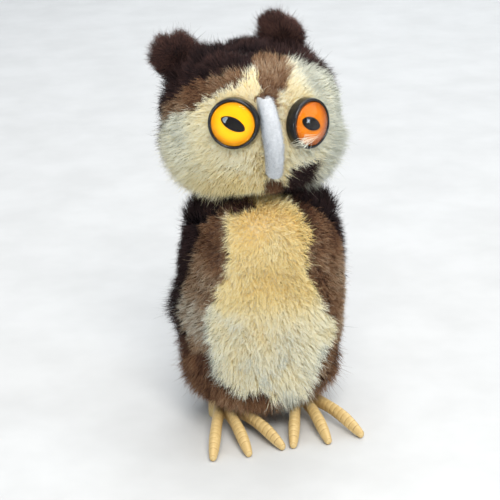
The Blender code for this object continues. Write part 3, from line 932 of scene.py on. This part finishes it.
def clear_fittings(coat):
    """Drops the strands that would grow under the beak and the eyes."""
    x, y, z = coat.roots.T
    under_beak = (np.abs(x - beak_middle(z)) < 1.7 * MM) & (y < 0)
    free = ~(under_beak & (z < BEAK_TOP - 0.6 * MM) & (z > BEAK_LOW + 0.4 * MM))
    for place in EYES.values():
        radial, height, _ = in_eye_frame(coat.roots, place)
        free &= (radial > EYE_RADIUS - 0.4 * MM) | (height < -6 * MM)
    coat.keep(free)


def paint_head(coat, turn, height, ragged, tuft):
    """A pale face with brown marks over both eyes and at the chin, painted shade towards both cheeks, and the
    rest dark.
    """
    left = turn > 0
    # The pile stands up here, so each patch starts a little lower than its tips end
    tip_z = height + np.where(height > 84, TIP_RISE, 0.0)
    chin = ease(74, 66, height)
    # Both cheeks are pushed towards the greyest cream tone: painted shade where the sides of the face turn
    # from the light.
    painted_side_shade = 1.8 * ease(22, 50, turn) + 0.9 * ease(45, 72, -turn)
    cream = 2.8 - 1.2 * chin * (1 - 0.4 * left) + painted_side_shade + 0.6 * ease(80, 90, height) + 0.5 * ragged
    coat.paint(EVERY, "cream", cream)
    arc = ~left & (tip_z > table(ARC_LOW, turn))
    coat.paint(arc, "brown", 1.4 + 0.9 * ragged)
    streak = (tip_z > 85) & (tip_z < 95) & (turn > -19) & (turn < -8)
    coat.paint(streak, "cream", 3.0 + 0.3 * ragged)
    patch = (tip_z > 87) & (turn > -8) & (turn < table(PATCH_LEFT, tip_z))
    coat.paint(patch, "brown", 1.2 + 0.9 * ease(88.5, 92.5, tip_z) + 0.5 * ragged)
    spot = (height < 67.4) & (height > 63.6) & (turn > -6) & (turn < 12)
    coat.paint(spot, "brown", 0.4 + 0.3 * ragged)
    coat.paint(tuft, "cream", np.full(len(turn), 4.4), 0.3)
    scruff = (height < table(SCRUFF, turn)) & (turn < 58) & (turn > 11 + 0.8 * (70.5 - height))
    dark = scruff | (tip_z > table(DARK_LOW, turn)) | (np.abs(turn) > table(FACE, height))
    coat.paint(dark, "dark", 1.2 + 0.4 * ragged, 0.9)


def brush_round_fittings(coat, comb, length, lean):
    """Changes all three in place: up round the ears, outwards round the eyes, sideways off the beak."""
    for word in EARS:
        from_ear = coat.roots - np.array(middle("ear_" + word))
        near = ease(10.0, 5.5, np.hypot(from_ear[:, 0], from_ear[:, 2]) / MM)
        near *= ease(9.0, 5.0, np.abs(from_ear[:, 1]) / MM)
        length += 1.9 * near
        comb += near[:, None] * (unit(from_ear * (1, 0, 1)) * -0.6 + (0.0, 0.1, 1.6))
    for place in EYES.values():
        radial, height, outward = in_eye_frame(coat.roots, place)
        near = ease(EYE_RADIUS + 3.6 * MM, EYE_RADIUS, radial) * (height > -9 * MM)
        comb += outward * (near * 2.5)[:, None]
        length *= 1 - 0.12 * near
        lean += 0.15 * near
    x, y, z = coat.roots.T
    sideways = x - beak_middle(z)
    near_beak = ease(4.5, 1.7, np.abs(sideways) / MM) * (y < 0) * (z / MM < 88) * (z / MM > 66)
    comb[:, 0] += np.sign(sideways) * near_beak * 1.6
    length *= 1 - 0.2 * near_beak


def build_head(count):
    form = round_form("head_plush", HEAD_SHAPE, HEAD_HALF, NECK_Z, HEAD_TOP)
    inflate(form, 1.1 * MM, 0.6 * MM)
    finish_form(form, "owl_head", "dark_pile", "head_stuffing")
    colour_backing(form, on_face, on_brow)

    coat = Coat(form, count, 36, 6)
    clear_fittings(coat)
    z = coat.roots[:, 2] / MM
    ragged = coat.noise(1.5, 4)
    place_z = coat.place[:, 2] / MM + 0.7 * ragged
    turn = turn_round(coat.place) + 3.0 * ragged
    away = np.abs(turn)
    left = turn > 0
    skin_z = place_z + BACKING_DEPTH / MM * coat.normals[:, 2]
    crown = skin_z > CROWN_Z
    brow = ~crown & (skin_z > BROW[0][0]) & (away < table(BROW, skin_z))
    face = ~crown & ~brow & (away < table(FACE, skin_z))
    back = ~crown & ~brow & ~face

    # The face is brushed outwards from the beak, and the crown up and back
    beak_line = np.stack([np.full(len(z), AXIS_X), coat.roots[:, 1], np.clip(z, 70, 84) * MM], axis=1)
    comb = unit(coat.roots - beak_line) + (0.0, 0.0, -0.25)
    comb += coat.rng.normal(scale=0.12, size=comb.shape)
    comb[crown | back] = (0.0, 0.35, -0.4)
    comb[crown] = (0.0, 0.3, 0.8)
    comb[brow] = (0.0, 0.0, 1.0)
    middle_share = ease(34, 12, away) * face
    right_crown = crown * ease(4, -8, coat.place[:, 0] / MM)
    length = 3.6 - 0.5 * middle_share - 0.7 * crown - 1.3 * right_crown
    length += 0.4 * ease(72, 64, z) + 0.25 * ragged
    length[brow] = 3.0
    jowl = ease(35, 65, away) * ease(62, 65, place_z) * ease(79, 73, place_z)
    length += (2.2 + 0.9 * left) * jowl + 1.3 * (crown | back) * coat.noise(1.1, 15)
    lean = 0.42 + 0.1 * coat.noise(2.0, 14) - 0.15 * jowl
    lean[crown] = 0.25
    brush_round_fittings(coat, comb, length, lean)
    pull = np.full(len(z), 0.50)
    coat.grow(comb, length * MM, np.clip(lean, 0.1, 0.85), pull, 0.047 * MM, 0.24 * MM, 0.28)
    part_round_eyes(coat)
    part_round_beak(coat)
    tuft = tuft_over_eye(coat)
    paint_head(coat, turn, place_z, ragged, tuft)
    add_pile("brow_pile", coat, brow, "brown_pile", "owl_head", "brow_patch")
    add_pile("crown_pile", coat, crown, "dark_pile", "owl_head", "crown_panel")
    add_pair("face_pile", coat, face, left, "cream_pile", "owl_head", "face_panel")
    add_pair("head_back_pile", coat, back, left, "dark_pile", "owl_head", "head_back")


def part_round_eyes(coat):
    """Pushes every strand clear of the eye cups."""
    clear = EYE_RADIUS + 0.12 * MM
    for place in EYES.values():
        radial, height, outward = in_eye_frame(coat.stations, place)
        inside = (radial < clear) & (height > -6 * MM)
        push = np.where(inside, clear - radial, 0)
        coat.stations += outward * push[..., None]


TUFT_STRANDS = 26
TUFT_STRAND_WIDTH = 0.04 * MM


def tuft_over_eye(coat):
    """A few strands low beside the owl's left eye that have fallen across its lens."""
    place = np.array(EYES["left"])
    across, up, height = to_eye(coat.roots, EYES["left"]).T
    angle = np.degrees(np.arctan2(up, across))
    beside_rim = (np.hypot(across, up) < EYE_RADIUS + 1.2 * MM) & (height > -5 * MM)
    chosen = np.flatnonzero(beside_rim & (np.abs(angle + 125) < 14))[:TUFT_STRANDS]
    count = len(chosen)
    ends = coat.rng.uniform(2.2, 3.6, count)
    path = ((6.2, 3.6, -14), (4.3, 4.3, -8), (ends, 4.6, coat.rng.uniform(15, 70, count)))
    for step, (out, height, swing) in enumerate(path, start=1):
        at = np.radians(angle[chosen] + swing + coat.rng.normal(scale=8.0, size=count))
        fallen = np.stack([out * np.cos(at), out * np.sin(at), np.full(count, height)], axis=1)
        coat.stations[chosen, step] = fallen * MM @ place[:3, :3].T + place[:3, 3]
    outward = place[:3, 2]
    along = unit(coat.stations[chosen, 3] - coat.stations[chosen, 1])
    coat.across[chosen] = unit(np.cross(along, outward)) * TUFT_STRAND_WIDTH
    coat.soft_normals[chosen] = outward
    return np.isin(np.arange(len(coat.roots)), chosen)


def part_round_beak(coat):
    """Pushes strands sideways off the beak."""
    x, y, z = np.moveaxis(coat.stations, -1, 0)
    x = x - beak_middle(z)
    rows = (z < BEAK_TOP) & (z > BEAK_LOW) & (y < 0)
    clear = BEAK_HALF_WIDTH + 0.1 * MM
    inside = rows & (np.abs(x) < clear)
    sign = np.where(x[:, :1] >= 0, 1.0, -1.0)
    coat.stations[..., 0] = np.where(inside, sign * clear, x) + beak_middle(z)


# ---- ears

# Radius of each ear's pile in its own plane, in millimetres, at turns anticlockwise from the owl's left
EARS = {
    "left": (
        (0, 4.6), (20, 4.0), (50, 4.0), (80, 3.7), (105, 4.2), (130, 5.8), (150, 6.8), (180, 6.6),
        (230, 7.8), (300, 8.6), (325, 8.4), (345, 6.0), (360, 4.6),
    ),
    "right": (
        (0, 6.6), (45, 6.0), (80, 6.4), (100, 5.0), (115, 5.2), (148, 7.4), (185, 7.8), (225, 7.6),
        (280, 8.4), (325, 8.8), (360, 6.6),
    ),
}
EAR_DEPTH = 3.4 * MM
EAR_PILE = 2.9 * MM


def build_ear(word, count, seed):
    centre = middle("ear_" + word)
    rows = []
    for lift in np.radians(np.linspace(-84, 84, 15)):
        out = (EAR_DEPTH - 1.4 * MM) * math.sin(lift)
        row = []
        for degrees in range(0, 360, 10):
            turn = math.radians(degrees)
            reach = (table(EARS[word], degrees) * MM - EAR_PILE) * math.cos(lift)
            row.append(centre + Vector((reach * math.cos(turn), out, reach * math.sin(turn))))
        rows.append(row)
    form = grid_mesh(f"ear_plush_{word}", rows, closed_across=True)
    inflate(form, 0.5 * MM, 0.25 * MM)
    finish_form(form, "owl_head", "dark_pile", "ear_" + word)

    coat = Coat(form, count, 26, seed)
    ragged = coat.noise(1.3, seed)
    swirl = coat.noise(1.6, seed + 5)
    outward = coat.roots - np.array(centre)
    comb = unit(outward) * 0.7 + (0.0, 0.2, 1.0) + 0.6 * swirl[:, None]
    lean = np.clip(0.55 + 0.2 * ragged, 0.1, 0.9)
    length = EAR_PILE + (1.2 + 1.3 * ragged) * MM
    coat.grow(comb, length, lean, np.full(count, 0.7), 0.042 * MM, 0.16 * MM, 0.3)
    coat.paint(EVERY, "dark", 1.9 + 0.5 * ragged, 1.3)
    add_pile("ear_pile_" + word, coat, EVERY, "dark_pile", "owl_head")


# ---- feet

TOE_REACH = 26.0 * MM
TOE_SPREAD = math.radians(19.5)
OUTER_REACH = TOE_REACH / math.cos(TOE_SPREAD) * 0.97
# Each toe as its turn from straight ahead and its reach
TOES = ((-TOE_SPREAD, OUTER_REACH), (0, TOE_REACH), (TOE_SPREAD, OUTER_REACH), (math.pi, 12.5 * MM))
TOE_RADIUS = 1.7 * MM
# Share of the reach, height in millimetres and share of the toe's radius
TOE_STATIONS = (
    (0.10, 3.7, 1.00), (0.30, 3.9, 0.95), (0.50, 3.9, 0.90), (0.62, 3.65, 0.92), (0.74, 3.1, 0.94),
    (0.84, 2.35, 0.88), (0.92, 1.65, 0.76), (0.97, 1.2, 0.62), (0.99, 1.0, 0.54), (1.0, 0.95, 0.40),
)
SCUTE = 1.53 * MM


def toe(name, turn, reach):
    """One toe: a tapering tube with a ridge on top, ringed by shallow scutes and ending in a blunt claw."""
    curve = smooth_curve(TOE_STATIONS, 14)
    forward = Vector((math.sin(turn), -math.cos(turn), 0))
    across = Vector((math.cos(turn), math.sin(turn), 0))
    rows = []
    for i, (share, height, width) in enumerate(curve):
        step = curve[min(i + 1, len(curve) - 1)] - curve[max(i - 1, 0)]
        along = (forward * step[0] * reach + Vector((0, 0, step[1] * MM))).normalized()
        up = across.cross(along).normalized()
        if up.z < 0:
            up = -up
        centre = forward * reach * share + Vector((0, 0, height * MM))
        groove = max(math.cos(math.tau * share * reach / SCUTE), 0) ** 6 * (0.35 < share < 0.93)
        row = []
        for angle in np.linspace(0, math.tau, 28, endpoint=False):
            lift = math.sin(angle)
            ridge = 1 + 0.14 * max(lift, 0) ** 8 - 0.07 * (1 - abs(lift)) * (lift > 0)
            radius = TOE_RADIUS * width * ridge * (1 - 0.14 * groove * (lift > -0.3))
            point = centre + across * (radius * math.cos(angle) * 0.94) + up * (radius * lift)
            point.z = max(point.z, 0.02 * MM)
            row.append(point)
        rows.append(row)
    return grid_mesh(name, rows, closed_across=True)


def build_foot(word, material):
    hub_outline = (
        (0.0, 0.0), (2.9, 0.0), (3.2, 0.25), (3.3, 1.2), (3.2, 3.0), (3.0, 4.4), (2.7, 5.2), (2.3, 5.6),
        (1.9, 5.7), (1.6, 6.0), (1.6, 13.5), (0.0, 13.5),
    )
    foot = lathe("foot_mould_" + word, np.array(hub_outline) * MM)
    for number, (turn, reach) in enumerate(TOES):
        cutter = toe(f"toe {word} {number}", turn, reach)
        modify(foot, "BOOLEAN", operation="UNION", solver="EXACT", object=cutter)
        bake_modifiers(foot)
        bpy.data.objects.remove(cutter)
    foot.data.transform(Matrix.Translation((middle("foot_washer_" + word).x, AXIS_Y, 0)))
    foot.data.shade_smooth()
    assign(material, foot)
    stand_for(foot, "tan_plastic", "owl_body", "foot_" + word)


# ---- parts inside

def finish_hardware():
    """The CAD nodes that stay are hidden inside: they get their own materials."""
    zinc_tones = (0.42, 0.43, 0.45), (0.58, 0.58, 0.57)
    steel = mottled("zinc steel", *zinc_tones, 700.0, 0.32, 0.05 * MM, metallic=1.0)
    board = mottled("fibreboard", (0.20, 0.13, 0.07), (0.33, 0.23, 0.14), 600.0, 0.9, 0.2 * MM)
    for node_name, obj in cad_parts.items():
        if "washer" in node_name or node_name == "neck_pin":
            assign(steel, obj)
        elif "neck_disc" in node_name:
            assign(board, obj)


# ---- camera, floor and light

def look_from(azimuth, elevation, distance, aim, lens, roll):
    camera_data = bpy.data.cameras.new("camera")
    camera = new_object("camera", camera_data)
    a, e = math.radians(azimuth), math.radians(elevation)
    back = Vector((math.sin(a) * math.cos(e), -math.cos(a) * math.cos(e), math.sin(e)))
    turn = (-back).to_track_quat("-Z", "Y").to_matrix().to_4x4()
    camera.matrix_world = (
        Matrix.Translation(Vector(aim) + back * distance) @ turn @ Matrix.Rotation(math.radians(roll), 4, "Z")
    )
    camera_data.lens = lens
    camera_data.sensor_width = 36
    camera_data.clip_start = 0.01
    camera_data.clip_end = 20
    bpy.context.scene.camera = camera


def area_light(name, place, aim, size, power, colour):
    light = bpy.data.lights.new(name, "AREA")
    light.shape = "DISK"
    light.size = size
    light.energy = power
    light.color = colour
    obj = new_object(name, light)
    obj.location = place
    obj.rotation_euler = (Vector(aim) - Vector(place)).to_track_quat("-Z", "Y").to_euler()


def build_stage():
    bm = bmesh.new()
    bmesh.ops.create_grid(bm, x_segments=1, y_segments=1, size=3)
    floor = object_from("floor", bm)
    paper_tones = (0.53, 0.525, 0.51), (0.57, 0.565, 0.55)
    assign(mottled("pale floor", *paper_tones, 40.0, 0.9, specular_ior_level=0.05), floor)
    world = bpy.data.worlds.new("studio")
    world.use_nodes = True
    background = world.node_tree.nodes["Background"]
    background.inputs["Color"].default_value = (0.80, 0.88, 1.0, 1)
    background.inputs["Strength"].default_value = 0.42
    bpy.context.scene.world = world
    bpy.context.scene.view_settings.view_transform = "Standard"
    centre = (0, 0, 0.05)
    sky = (0.9, 0.95, 1.0)
    area_light("key", (-0.06, -0.52, 0.62), centre, 0.45, 5.5, (1.0, 0.98, 0.95))
    area_light("top", (0.05, 0.05, 0.8), centre, 0.6, 3.8, (1.0, 1.0, 1.0))
    area_light("fill", (0.6, -0.3, 0.3), centre, 0.5, 1.0, sky)
    area_light("back", (0.25, 0.55, 0.45), centre, 0.5, 2.2, sky)
    # Two small windows low in front, for the glint in each eye
    eye_level = (0, 0, 0.085)
    blue = (0.72, 0.86, 1.0)
    area_light("window right", (-0.44, -0.355, 0.10), eye_level, 0.11, 1.0, blue)
    area_light("window left", (0.44, -0.35, 0.075), eye_level, 0.08, 0.8, blue)


QUICK_SHARE = 1.0
BODY_STRANDS = int(112000 * QUICK_SHARE)
HEAD_STRANDS = int(92000 * QUICK_SHARE)
EAR_STRANDS = int(9000 * QUICK_SHARE)

look_from(azimuth=-15.5, elevation=20, distance=0.42, aim=(-0.0024, 0.0005, 0.0446), lens=121.8, roll=-1.8)
build_stage()
build_body(BODY_STRANDS)
build_eyes()
build_beak()
build_head(HEAD_STRANDS)
build_ear("left", EAR_STRANDS, seed=21)
build_ear("right", EAR_STRANDS, seed=22)
TOE_PLASTIC = toe_material("tan toe plastic")
build_foot("left", TOE_PLASTIC)
build_foot("right", TOE_PLASTIC)
finish_hardware()
